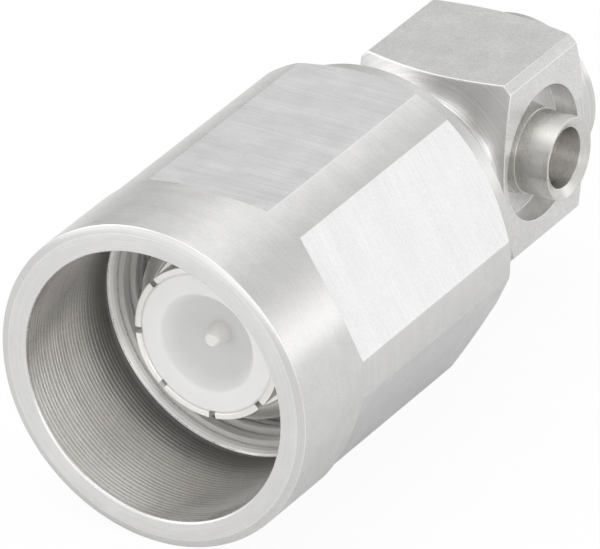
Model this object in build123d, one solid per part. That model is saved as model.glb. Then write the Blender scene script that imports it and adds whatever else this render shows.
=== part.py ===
from build123d import *
import math
import os

# Right-angle coaxial plug with a spring-loaded hexagonal coupling nut, millimetres.
# The plug axis is Y: the mouth of the nut is the plane y = 0 and the part runs back along +Y.
# The cable leaves along +X and the flat top of the body faces +Z.

# Fits between pieces
press_gap = 0.02
running_gap = 0.05
seal_gap = 0.03
edge_break = 0.12

# Outer contact, a slotted basket
basket_front = 5.7
basket_radius = 4.65
basket_wall = 0.4
basket_lip = 0.08
finger_ring_length = 2.18
slot_count = 8
slot_width = 0.42
slot_length = 1.9
slot_phase = 3.5
basket_sleeve_step = 0.23

# Centre line, from the pin to the cable's wire
pin_tip_radius = 0.36
pin_radius = 0.65
pin_nose_length = 1.1
pin_recess = 0.5
pin_body_radius = 0.95
tail_radius = 1.15
tail_length = 2.6
wire_radius = 0.46
tail_insert = 1.2

# Insulators
insulator_recess = 0.05
bowl_rim_radius = 3.1
bowl_wall_radius = 2.72
bowl_depth = 1.6
bead_length = 1.95
bead_flange_radius = 3.2
bead_flange_length = 1.35
line_radius = 2.2
line_end_to_cable = 2.6

# Front shell, which carries the flange and the outer contact and guards its fingers
shell_wall = 1.02
shell_cone_length = 0.6
flange_length = 1.6
flange_gap = 0.1
seal_section_radius = 0.35

# Wave spring and its two thrust washers
spring_clearance = 1.33
spring_width = 0.7
spring_thickness = 0.4
spring_turns = 7
flat_end_turns = 0.5
waves_per_turn = 3.5
wave_height = 0.189
wave_phase = -75
wire_start_angle = 150
turn_gap = 0.03
end_lift = 0.1
steps_per_wave = 8
front_washer_thickness = 0.6
rear_washer_thickness = 0.5
washer_clearance = 0.4
washer_overhang = 0.31

# Coupling nut, inside
chamber_clearance = 0.15
mouth_step = 0.1
mouth_depth = 8.7
mouth_chamfer = 0.1
relief_depth = 0.1
relief_width = 0.3
lip_height = 0.2
lip_cone_length = 0.42
lip_land = 0.13
rear_land = 1.7

# Coupling nut, outside; the cut of the flats gives an 18 mm wrench size
rim_width = 1.6
rim_chamfer_width = 0.5
rim_chamfer_depth = 0.15
flat_cut = 0.8
flat_front = 6.4
collar_step = 1.0
collar_length = 1.0

# Guide bush and retaining ring behind the flange
bush_length = 4.6
bush_groove_width = 0.9
ring_thickness = 0.5
ring_rise = 0.8
ring_groove_depth = 0.4
ring_end_gap = 2.4
ring_lug_length = 1.5
ring_lug_height = 0.45
ring_lug_hole_radius = 0.3

# Body: neck, collar, square block and rear boss
stem_step = 0.58
stem_length = 3.3
neck_step = 0.55
nut_to_cable = 10.0
block_side_step = 0.1
block_height_step = 0.85
block_edge_chamfer = 0.45
block_front_to_cable = 4.55
cable_to_boss = 4.8
front_cone_angle = 22.5
rear_cone_angle = 20.0
neck_groove_depth = 0.35
neck_groove_width = 0.45
neck_collar_height = 0.2
neck_collar_length = 0.6
boss_step = 0.05
boss_length = 1.7
boss_chamfer = 0.25

# Cavity behind the contact and its cover
cavity_radius = 2.6
cap_radius = 3.7
cap_thickness = 1.2
cap_recess = 0.15
cap_pad_thickness = 0.8

# Cable outlet
pocket_radius = 4.0
pocket_depth = 1.5
ferrule_radius = 2.48
ferrule_bore_radius = 1.8
ferrule_base_radius = 2.68
ferrule_base_length = 1.05
ferrule_reach = 1.7
ferrule_spigot_radius = 2.2
ferrule_floor = 0.45
ferrule_floor_bore = 1.3
ferrule_mouth_radius = 2.38
ferrule_mouth_depth = 0.3

# Radii, worked out from the outer contact outwards
basket_sleeve_radius = basket_radius + basket_sleeve_step
shell_radius = basket_sleeve_radius + press_gap + shell_wall
spring_inner_radius = shell_radius + spring_clearance
rear_washer_bore = shell_radius + washer_clearance
chamber_radius = spring_inner_radius + spring_width + chamber_clearance
mouth_radius = chamber_radius + mouth_step
lip_radius = chamber_radius - lip_height
front_washer_bore = lip_radius - washer_overhang
ring_inner_radius = chamber_radius - ring_rise
nut_radius = mouth_radius + rim_width
flat_distance = nut_radius - flat_cut
collar_radius = nut_radius - collar_step

# Radii and half sizes of the body, worked out from the contact's sleeve
stem_radius = basket_sleeve_radius - stem_step
neck_radius = stem_radius + neck_step
neck_groove_radius = neck_radius - neck_groove_depth
neck_collar_radius = neck_radius + neck_collar_height
boss_radius = neck_radius - boss_step
block_half_width = neck_radius + block_side_step
block_half_height = neck_radius + block_height_step

# Places along the plug axis, worked out from the mouth backwards
lip_back = mouth_depth + lip_cone_length + lip_land
spring_front = lip_back + front_washer_thickness
closed_turns = spring_turns * (spring_thickness + turn_gap) + spring_thickness
wave_rise = 2 * wave_height * (spring_turns - 2 * flat_end_turns - 1)
spring_back = spring_front + closed_turns + wave_rise + 2 * end_lift
flange_front = spring_back + rear_washer_thickness
flange_back = flange_front + flange_length
bush_back = flange_back + bush_length
ring_groove_back = bush_back + ring_thickness + running_gap
nut_back = ring_groove_back + rear_land
land_back = nut_back - collar_length - collar_step
stem_front = flange_back - stem_length
finger_root = basket_front + finger_ring_length
shell_front = finger_root + press_gap
insulator_front = basket_front + insulator_recess
insulator_back = stem_front - bead_length
bead_step = stem_front - bead_flange_length
cable_axis = nut_back + nut_to_cable
block_front = cable_axis - block_front_to_cable
boss_front = cable_axis + cable_to_boss
boss_back = boss_front + boss_length
front_slope = math.tan(math.radians(front_cone_angle))
rear_slope = math.tan(math.radians(rear_cone_angle))
line_back = cable_axis - line_end_to_cable
cap_back = boss_back - cap_recess
cap_front = cap_back - cap_thickness
pad_front = cap_front - cap_pad_thickness

# Places along the cable axis
pocket_floor = block_half_width - pocket_depth
ferrule_end = block_half_width + ferrule_reach
spigot_end = max(cavity_radius + running_gap, pocket_floor - ferrule_floor - press_gap)
cable_seat = spigot_end + ferrule_floor


def turned(*outline):
    """Turn a closed outline of (radius, place along Y) points round the plug axis."""
    return revolve(make_face(Polyline(*outline, close=True)), Axis.Y, 360)


def turned_on_cable(*outline):
    """Turn a closed outline of (place along X, radius) points round the cable axis."""
    flat = [(x, cable_axis + radius) for x, radius in outline]
    cable_line = Axis((0, cable_axis, 0), (1, 0, 0))
    return revolve(make_face(Polyline(*flat, close=True)), cable_line, 360)


def rod(radius, front, back):
    """A round bar on the plug axis."""
    return turned((0, front), (radius, front), (radius, back), (0, back))


def tube(inner, outer, front, back):
    """A plain sleeve on the plug axis."""
    return turned((inner, front), (outer, front), (outer, back), (inner, back))


def seal_ring(centre_radius, section_radius, place):
    """A round-section rubber ring on the plug axis."""
    section = Pos(centre_radius, place, 0) * Circle(section_radius)
    return revolve(section, Axis.Y, 360)


def coupling_nut():
    """Turned sleeve with six milled wrench flats, an inner lip and a ring groove."""
    groove_front = bush_back
    relief_front = mouth_depth - relief_width
    sleeve = turned(
        (mouth_radius + mouth_chamfer, 0),
        (nut_radius - rim_chamfer_width, 0),
        (nut_radius, rim_chamfer_depth),
        (nut_radius, land_back),
        (collar_radius, land_back + collar_step),
        (collar_radius, nut_back - edge_break),
        (collar_radius - edge_break, nut_back),
        (chamber_radius + edge_break, nut_back),
        (chamber_radius, nut_back - edge_break),
        (chamber_radius, ring_groove_back),
        (chamber_radius + ring_groove_depth, ring_groove_back),
        (chamber_radius + ring_groove_depth, groove_front),
        (chamber_radius, groove_front),
        (chamber_radius, lip_back),
        (lip_radius, lip_back),
        (lip_radius, lip_back - lip_land),
        (mouth_radius, mouth_depth),
        (mouth_radius + relief_depth, mouth_depth),
        (mouth_radius + relief_depth, relief_front),
        (mouth_radius, relief_front),
        (mouth_radius, mouth_chamfer),
    )
    rise = 2 * flat_cut
    side = Polyline(
        (flat_front, flat_distance),
        (flat_front - rise, flat_distance + rise),
        (nut_back, flat_distance + rise),
        (nut_back, flat_distance),
        close=True,
    )
    cutter = extrude(Plane.YZ * make_face(side), nut_radius, both=True)
    flats = [Rot(0, 60 * step, 0) * cutter for step in range(6)]
    return sleeve - flats


def retaining_ring():
    """Open internal ring with two lugs for pliers, sprung into the nut's groove."""
    front = bush_back + running_gap / 2
    outer_radius = chamber_radius + ring_groove_depth - running_gap
    lug_inner = ring_inner_radius - ring_lug_height
    lug_outer = (ring_inner_radius + outer_radius) / 2
    profile = Circle(outer_radius) - Circle(ring_inner_radius)
    for side in (1, -1):
        reach = side * (ring_end_gap + ring_lug_length) / 2
        lug = Rectangle(ring_lug_length, lug_outer - lug_inner)
        profile += Pos(reach, -(lug_inner + lug_outer) / 2) * lug
        profile -= Pos(reach, -ring_inner_radius) * Circle(ring_lug_hole_radius)
    profile -= Pos(0, -outer_radius) * Rectangle(ring_end_gap, outer_radius)
    return extrude(Plane((0, front, 0), (1, 0, 0), (0, 1, 0)) * profile, ring_thickness)


def guide_bush():
    """Long bearing sleeve that keeps the nut straight on the neck, grooved for a wiper ring."""
    inner = neck_radius + running_gap
    outer = chamber_radius - running_gap
    groove_floor = neck_radius + seal_gap + 2 * seal_section_radius + seal_gap
    middle = (flange_back + bush_back) / 2
    return turned(
        (inner, flange_back),
        (outer - edge_break, flange_back),
        (outer, flange_back + edge_break),
        (outer, bush_back - edge_break),
        (outer - edge_break, bush_back),
        (inner + edge_break, bush_back),
        (inner, bush_back - edge_break),
        (inner, middle + bush_groove_width / 2),
        (groove_floor, middle + bush_groove_width / 2),
        (groove_floor, middle - bush_groove_width / 2),
        (inner, middle - bush_groove_width / 2),
    )


def wiper_ring():
    """Rubber ring in the guide bush, which wipes the neck."""
    place = (flange_back + bush_back) / 2
    return seal_ring(neck_radius + seal_gap + seal_section_radius, seal_section_radius, place)


def front_washer():
    """Thrust washer between the nut's lip and the spring."""
    return tube(front_washer_bore, chamber_radius - running_gap, lip_back, spring_front)


def rear_washer():
    """Thrust washer between the spring and the shell's flange."""
    return tube(rear_washer_bore, chamber_radius - 2 * running_gap, spring_back, flange_front)


def wave_share(turn):
    """How much of the full wave the wire has at that turn: none in the flat ends."""
    from_front = turn - flat_end_turns
    from_back = spring_turns - flat_end_turns - turn
    return max(0, min(1, from_front, from_back))


def wire_height(turn):
    """How far the wire's middle has risen there, so that waves of next turns just clear."""
    earlier = sum(wave_share(turn - back) for back in range(1, math.ceil(turn) + 1))
    level = turn * (spring_thickness + turn_gap) + wave_height * (wave_share(turn) + 2 * earlier)
    wave = math.sin(math.radians(360 * waves_per_turn * turn + wave_phase))
    return level + wave_height * wave_share(turn) * wave


def wave_spring():
    """Flat wire wound on edge in waves between flat ends, whose turns meet crest to crest."""
    steps = round(spring_turns * waves_per_turn * steps_per_wave)
    middle = spring_front + end_lift + spring_thickness / 2
    wire = Rectangle(spring_width, spring_thickness)
    sections = []
    for step in range(steps + 1):
        turn = step / steps * spring_turns
        place = Pos(spring_inner_radius + spring_width / 2, middle + wire_height(turn), 0)
        sections.append(Rot(0, -wire_start_angle - 360 * turn, 0) * place * wire)
    return loft(sections)


def front_shell():
    """Turned shell round the fingers, with a flange for the spring and a socket for the stem."""
    flange_radius = chamber_radius - flange_gap
    seal_floor = chamber_radius - seal_gap - 2 * seal_section_radius - seal_gap
    middle = (flange_front + flange_back) / 2
    half_groove = seal_section_radius + running_gap
    bore = basket_sleeve_radius + press_gap
    return turned(
        (bore, shell_front + edge_break),
        (bore + edge_break, shell_front),
        (shell_radius, shell_front + shell_cone_length),
        (shell_radius, flange_front),
        (flange_radius, flange_front),
        (flange_radius, middle - half_groove),
        (seal_floor, middle - half_groove),
        (seal_floor, middle + half_groove),
        (flange_radius, middle + half_groove),
        (flange_radius, flange_back),
        (stem_radius + press_gap, flange_back),
        (stem_radius + press_gap, stem_front),
        (bore, stem_front),
    )


def flange_seal():
    """Rubber ring in the flange, which runs in the nut's chamber."""
    place = (flange_front + flange_back) / 2
    return seal_ring(chamber_radius - seal_gap - seal_section_radius, seal_section_radius, place)


def outer_contact():
    """Slotted basket: a ring of eight fingers on a stepped sleeve, with softened finger ends."""
    inner = basket_radius - basket_wall
    cup = turned(
        (inner, basket_front + basket_lip),
        (inner + basket_lip, basket_front),
        (basket_radius - basket_lip, basket_front),
        (basket_radius, basket_front + basket_lip),
        (basket_radius, finger_root),
        (basket_sleeve_radius, finger_root),
        (basket_sleeve_radius, stem_front),
        (bead_flange_radius + press_gap, stem_front),
        (bead_flange_radius + press_gap, bead_step),
        (line_radius + press_gap, bead_step),
        (line_radius + press_gap, insulator_back),
        (inner, insulator_back),
    )
    saw = Pos(basket_radius, basket_front + slot_length / 2, 0) * Box(
        2 * basket_wall + basket_radius, slot_length, slot_width
    )
    slots = [Rot(0, -slot_phase - 360 / slot_count * step, 0) * saw for step in range(slot_count)]
    return cup - slots


def front_insulator():
    """White insulator in the basket, hollowed into a rounded bowl round the pin."""
    outer = basket_radius - basket_wall - press_gap
    hole = pin_radius + press_gap
    rim = (bowl_rim_radius, insulator_front)
    wall_top = (bowl_wall_radius, insulator_front)
    wall_foot = (bowl_wall_radius, insulator_front + bowl_depth)
    floor_edge = (hole, insulator_front + bowl_depth)
    outline = Curve() + [
        Bezier(rim, wall_top, wall_foot, floor_edge),
        Polyline(
            floor_edge,
            (hole, insulator_back),
            (outer, insulator_back),
            (outer, insulator_front),
            rim,
        ),
    ]
    return revolve(make_face(outline), Axis.Y, 360)


def support_bead():
    """Bead clamped between the basket's floor and the neck, which holds the contact."""
    hole = pin_radius + press_gap
    seat = pin_body_radius + press_gap
    return turned(
        (hole, insulator_back),
        (line_radius, insulator_back),
        (line_radius, bead_step),
        (bead_flange_radius, bead_step),
        (bead_flange_radius, stem_front),
        (seat, stem_front),
        (seat, bead_step),
        (hole, bead_step),
    )


def line_insulator():
    """Long insulator that fills the neck round the contact."""
    return tube(pin_radius + press_gap, line_radius - press_gap, stem_front, line_back)


def centre_contact():
    """Turned pin with a blunt nose and a shoulder held in the bead."""
    tip = basket_front + pin_recess
    pin_end = cable_axis - tail_length / 2 + tail_insert
    tip_edge = (pin_tip_radius, tip)
    nose_end = (pin_radius, tip + pin_nose_length)
    outline = Curve() + [
        Bezier(tip_edge, (pin_radius, tip + pin_nose_length / 4), nose_end),
        Polyline(
            nose_end,
            (pin_radius, bead_step),
            (pin_body_radius, bead_step),
            (pin_body_radius, stem_front),
            (pin_radius, stem_front),
            (pin_radius, pin_end),
            (0, pin_end),
            (0, tip),
            tip_edge,
        ),
    ]
    return revolve(make_face(outline), Axis.Y, 360)


def solder_tail():
    """Sleeve on the contact's rear end, bored across for the cable's wire."""
    front = cable_axis - tail_length / 2
    back = cable_axis + tail_length / 2
    bore_end = front + tail_insert
    sleeve = rod(tail_radius, front, back) - rod(pin_radius + press_gap, front, bore_end)
    wire_hole = turned_on_cable(
        (0, 0), (tail_radius, 0), (tail_radius, wire_radius + press_gap), (0, wire_radius + press_gap)
    )
    return chamfer((sleeve - wire_hole).edges().group_by(Axis.Y)[-1], edge_break)


def angle_body():
    """Neck, square block and rear boss, turned and milled from one bar."""
    corner = math.hypot(block_half_width, block_half_height)
    section = Rectangle(2 * block_half_width, 2 * block_half_height)
    section = chamfer(section.vertices(), block_edge_chamfer)
    bar = extrude(Plane.XZ * section, -boss_back)
    cone_front = block_front - front_slope * neck_groove_radius
    cone_back = boss_front + rear_slope * boss_radius
    envelope = turned(
        (0, cone_front),
        (corner, cone_front + front_slope * corner),
        (corner, cone_back - rear_slope * corner),
        (0, cone_back),
    )
    block = bar & envelope
    collar_back = block_front - neck_groove_width
    collar_front = collar_back - neck_collar_length
    neck = turned(
        (0, stem_front),
        (stem_radius, stem_front),
        (stem_radius, flange_back),
        (neck_radius, flange_back),
        (neck_radius, collar_front),
        (neck_collar_radius, collar_front + edge_break),
        (neck_collar_radius, collar_back - edge_break),
        (neck_collar_radius - edge_break, collar_back),
        (neck_groove_radius, collar_back),
        (neck_groove_radius, cable_axis),
        (0, cable_axis),
    )
    boss = turned(
        (0, cable_axis),
        (boss_radius, cable_axis),
        (boss_radius, boss_back - boss_chamfer),
        (boss_radius - boss_chamfer, boss_back),
        (0, boss_back),
    )
    line_bore = rod(line_radius, stem_front, line_back)
    cavity = rod(cavity_radius, line_back, cap_front)
    cap_seat = rod(cap_radius + press_gap, cap_front, boss_back)
    pocket = turned_on_cable(
        (pocket_floor, 0),
        (ferrule_end, 0),
        (ferrule_end, pocket_radius),
        (pocket_floor, pocket_radius),
    )
    spigot_hole = turned_on_cable(
        (0, 0),
        (pocket_floor, 0),
        (pocket_floor, ferrule_spigot_radius + press_gap),
        (0, ferrule_spigot_radius + press_gap),
    )
    return block + neck + boss - line_bore - cavity - cap_seat - pocket - spigot_hole


def rear_cap():
    """Cover disc pressed into the boss after the cable's wire is soldered."""
    return turned(
        (0, cap_front),
        (cap_radius, cap_front),
        (cap_radius, cap_back - edge_break),
        (cap_radius - edge_break, cap_back),
        (0, cap_back),
    )


def cap_pad():
    """Insulating disc that keeps the tail clear of the cover."""
    return rod(cavity_radius - press_gap, pad_front, cap_front)


def cable_ferrule():
    """Solder sleeve for the cable's jacket, seated on the floor of the pocket."""
    return turned_on_cable(
        (spigot_end, ferrule_floor_bore),
        (spigot_end, ferrule_spigot_radius),
        (pocket_floor, ferrule_spigot_radius),
        (pocket_floor, ferrule_base_radius),
        (pocket_floor + ferrule_base_length - edge_break, ferrule_base_radius),
        (pocket_floor + ferrule_base_length, ferrule_radius),
        (ferrule_end, ferrule_radius),
        (ferrule_end, ferrule_mouth_radius),
        (ferrule_end - ferrule_mouth_depth, ferrule_bore_radius),
        (cable_seat, ferrule_bore_radius),
        (cable_seat, ferrule_floor_bore),
    )


def ferrule_bead():
    """Insulating washer in the floor of the solder sleeve, flush with the cable's seat."""
    return turned_on_cable(
        (spigot_end, wire_radius + press_gap),
        (spigot_end, ferrule_floor_bore - press_gap),
        (cable_seat, ferrule_floor_bore - press_gap),
        (cable_seat, wire_radius + press_gap),
    )


pieces = {
    "coupling_nut": coupling_nut,
    "retaining_ring": retaining_ring,
    "guide_bush": guide_bush,
    "wiper_ring": wiper_ring,
    "front_washer": front_washer,
    "wave_spring": wave_spring,
    "rear_washer": rear_washer,
    "front_shell": front_shell,
    "flange_seal": flange_seal,
    "outer_contact": outer_contact,
    "front_insulator": front_insulator,
    "support_bead": support_bead,
    "line_insulator": line_insulator,
    "centre_contact": centre_contact,
    "solder_tail": solder_tail,
    "angle_body": angle_body,
    "rear_cap": rear_cap,
    "cap_pad": cap_pad,
    "cable_ferrule": cable_ferrule,
    "ferrule_bead": ferrule_bead,
}

os.makedirs("parts", exist_ok=True)
for name, make in pieces.items():
    export_step(make(), f"parts/{name}.step")
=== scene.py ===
import math

import bmesh
import bpy
from mathutils import Matrix, Vector


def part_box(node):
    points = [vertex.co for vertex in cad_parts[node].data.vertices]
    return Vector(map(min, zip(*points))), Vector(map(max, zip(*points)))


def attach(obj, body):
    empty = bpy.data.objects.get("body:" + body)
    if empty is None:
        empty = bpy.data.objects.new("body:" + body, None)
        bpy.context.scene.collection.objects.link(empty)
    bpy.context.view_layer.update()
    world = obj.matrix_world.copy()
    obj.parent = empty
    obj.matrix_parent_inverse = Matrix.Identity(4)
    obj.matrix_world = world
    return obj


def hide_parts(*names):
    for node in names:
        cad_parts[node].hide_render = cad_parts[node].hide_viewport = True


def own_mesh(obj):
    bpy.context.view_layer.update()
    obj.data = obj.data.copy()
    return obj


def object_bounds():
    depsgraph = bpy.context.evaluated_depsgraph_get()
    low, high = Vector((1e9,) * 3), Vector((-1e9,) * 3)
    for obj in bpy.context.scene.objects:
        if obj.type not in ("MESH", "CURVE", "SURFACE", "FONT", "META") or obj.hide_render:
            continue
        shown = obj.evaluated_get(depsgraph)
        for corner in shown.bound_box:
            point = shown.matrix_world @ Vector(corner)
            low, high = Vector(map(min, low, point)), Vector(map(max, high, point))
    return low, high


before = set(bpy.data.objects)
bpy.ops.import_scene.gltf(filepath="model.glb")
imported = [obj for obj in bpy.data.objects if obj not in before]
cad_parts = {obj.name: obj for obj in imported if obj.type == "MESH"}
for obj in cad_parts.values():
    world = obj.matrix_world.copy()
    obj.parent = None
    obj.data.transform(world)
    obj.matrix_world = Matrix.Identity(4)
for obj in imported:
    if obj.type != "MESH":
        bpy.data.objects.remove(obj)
cad_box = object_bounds()

MM = 0.001
MICRON = 0.000001
IMAGE_WIDTH = 600

# Sizes of the visible pieces, in millimetres, as on the CAD model
NUT_RADIUS = 9.8
FLAT_DISTANCE = 9.0
FLAT_FRONT = 6.4
RIM_CHAMFER_WIDTH = 0.5
RIM_CHAMFER_DEPTH = 0.15
COLLAR_RADIUS = 8.8
COLLAR_LENGTH = 1.0
MOUTH_RADIUS = 8.2
MOUTH_DEPTH = 8.7
MOUTH_CHAMFER = 0.1
RELIEF_DEPTH = 0.1
RELIEF_WIDTH = 0.3
LIP_RADIUS = 7.9
LIP_LAND = 0.13
CHAMBER_RADIUS = 8.1
RING_GROOVE_DEPTH = 0.4
RING_GROOVE_PLAY = 0.025
EDGE_BREAK = 0.12
CARRIAGE_RADIUS = 8.05
WASHER_BORE = 7.59
BUSH_BORE = 4.9
TURNED_CORNER = 0.12
SPRING_INNER_RADIUS = 7.25
SPRING_WIDTH = 0.7
SPRING_THICKNESS = 0.4
SPRING_TURNS = 7
FLAT_END_TURNS = 0.5
WAVES_PER_TURN = 3.5
WAVE_HEIGHT = 0.189
WAVE_PHASE = -75
WIRE_START_ANGLE = 150
TURN_GAP = 0.03
END_LIFT = 0.1
WIRE_CORNER = 0.05
SHELL_RADIUS = 5.92
SHELL_BORE = 4.9
SHELL_CONE_LENGTH = 0.6
FLANGE_RADIUS = 8.0
FLANGE_LENGTH = 1.6
BASKET_RADIUS = 4.65
BASKET_WALL = 0.4
BASKET_LIP = 0.08
FINGER_RING_LENGTH = 2.18
BASKET_SLEEVE_RADIUS = 4.88
SLOT_COUNT = 8
SLOT_WIDTH = 0.42
SLOT_LENGTH = 1.9
SLOT_PHASE = 3.5
PIN_TIP_RADIUS = 0.36
PIN_RADIUS = 0.65
PIN_NOSE_LENGTH = 1.1
BOWL_RIM_RADIUS = 3.1
BOWL_WALL_RADIUS = 2.72
BOWL_DEPTH = 1.6
INSULATOR_CHAMFER = 0.1
NECK_RADIUS = 4.85
HIDDEN_NECK_LENGTH = 4.0
BODY_WALL = 1.5
BLOCK_HALF_WIDTH = 4.95
BLOCK_HALF_HEIGHT = 5.7
BLOCK_EDGE_CHAMFER = 0.45
BLOCK_EDGE_ROW = 0.15
FRONT_CONE_ANGLE = 22.5
REAR_CONE_ANGLE = 20.0
NECK_GROOVE_RADIUS = 4.5
NECK_GROOVE_WIDTH = 0.45
NECK_COLLAR_RADIUS = 5.05
NECK_COLLAR_LENGTH = 0.6
BOSS_RADIUS = 4.8
BOSS_LENGTH = 1.7
BOSS_CHAMFER = 0.25
BLOCK_FRONT_TO_CABLE = 4.55
CABLE_TO_BOSS = 4.8
CAP_RADIUS = 3.7
CAP_PLAY = 0.02
CAP_SEAT_DEPTH = 1.2
POCKET_RADIUS = 4.0
POCKET_DEPTH = 1.5
FERRULE_RADIUS = 2.48
FERRULE_BORE_RADIUS = 1.8
FERRULE_BASE_RADIUS = 2.68
FERRULE_BASE_LENGTH = 1.05
FERRULE_BASE_STEP = 0.05
FERRULE_SEAT_RADIUS = 2.2
FERRULE_FLOOR_BORE = 1.3
FERRULE_FLOOR_THICKNESS = 0.45
FERRULE_MOUTH_RADIUS = 2.38
FERRULE_MOUTH_DEPTH = 0.3

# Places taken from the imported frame, in millimetres
NUT_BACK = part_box("coupling_nut")[1].y / MM
LAND_BACK = NUT_BACK - COLLAR_LENGTH - (NUT_RADIUS - COLLAR_RADIUS)
LIP_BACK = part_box("front_washer")[0].y / MM
SPRING_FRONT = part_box("front_washer")[1].y / MM
BASKET_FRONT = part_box("outer_contact")[0].y / MM
BASKET_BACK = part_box("outer_contact")[1].y / MM
INSULATOR_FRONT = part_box("front_insulator")[0].y / MM
INSULATOR_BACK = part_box("front_insulator")[1].y / MM
PIN_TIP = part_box("centre_contact")[0].y / MM
BOSS_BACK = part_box("angle_body")[1].y / MM
BOSS_FRONT = BOSS_BACK - BOSS_LENGTH
CABLE_AXIS = BOSS_FRONT - CABLE_TO_BOSS
BLOCK_FRONT = CABLE_AXIS - BLOCK_FRONT_TO_CABLE
FRONT_SLOPE = math.tan(math.radians(FRONT_CONE_ANGLE))
REAR_SLOPE = math.tan(math.radians(REAR_CONE_ANGLE))
FERRULE_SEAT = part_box("cable_ferrule")[0].x / MM
FERRULE_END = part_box("cable_ferrule")[1].x / MM
FLOOR_LEVEL = cad_box[0][2]


def put_camera():
    """Long lens from the front right, above, at the photograph's angle."""
    azimuth = math.radians(-31.83)
    elevation = math.radians(28.44)
    roll = math.radians(-1.397)
    distance = 665.57 * MM
    focal_pixels = 11943.4
    sensor_width = 36.0
    look_at = Vector((1.011, 14.110, 0.651)) * MM
    forward = Vector(
        (
            math.sin(azimuth) * math.cos(elevation),
            math.cos(azimuth) * math.cos(elevation),
            -math.sin(elevation),
        )
    )
    level = forward.cross(Vector((0, 0, 1))).normalized()
    upright = level.cross(forward)
    right = level * math.cos(roll) + upright * math.sin(roll)
    up = upright * math.cos(roll) - level * math.sin(roll)
    camera = bpy.data.objects.new("camera", bpy.data.cameras.new("camera"))
    bpy.context.scene.collection.objects.link(camera)
    turn = Matrix((right, up, -forward)).transposed()
    camera.matrix_world = Matrix.Translation(look_at - forward * distance) @ turn.to_4x4()
    camera.data.sensor_width = sensor_width
    camera.data.lens = focal_pixels / IMAGE_WIDTH * sensor_width
    camera.data.clip_start = 0.01
    camera.data.clip_end = 20.0
    bpy.context.scene.camera = camera


put_camera()


# Materials
CLOUD_SCALE = 600.0
SPECKLE_SCALE = 9000.0
RING_DRIFT_SCALE = 900.0
RING_DRIFT = 1.2
RING_PACE = 0.02
RING_PATCH_SCALE = 300.0
RING_UNEVENNESS = (0.1, 1.9)
RING_SHARPNESS = 2.0
RING_MEAN = 0.375
CONTRAST = 4.0
GLOSS_CHANGE = 0.25
MOST_RISE = 0.25
GROOVE_FALL = 0.24
BOWL_PAINTED_SHADE_TONE = 0.74


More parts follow.
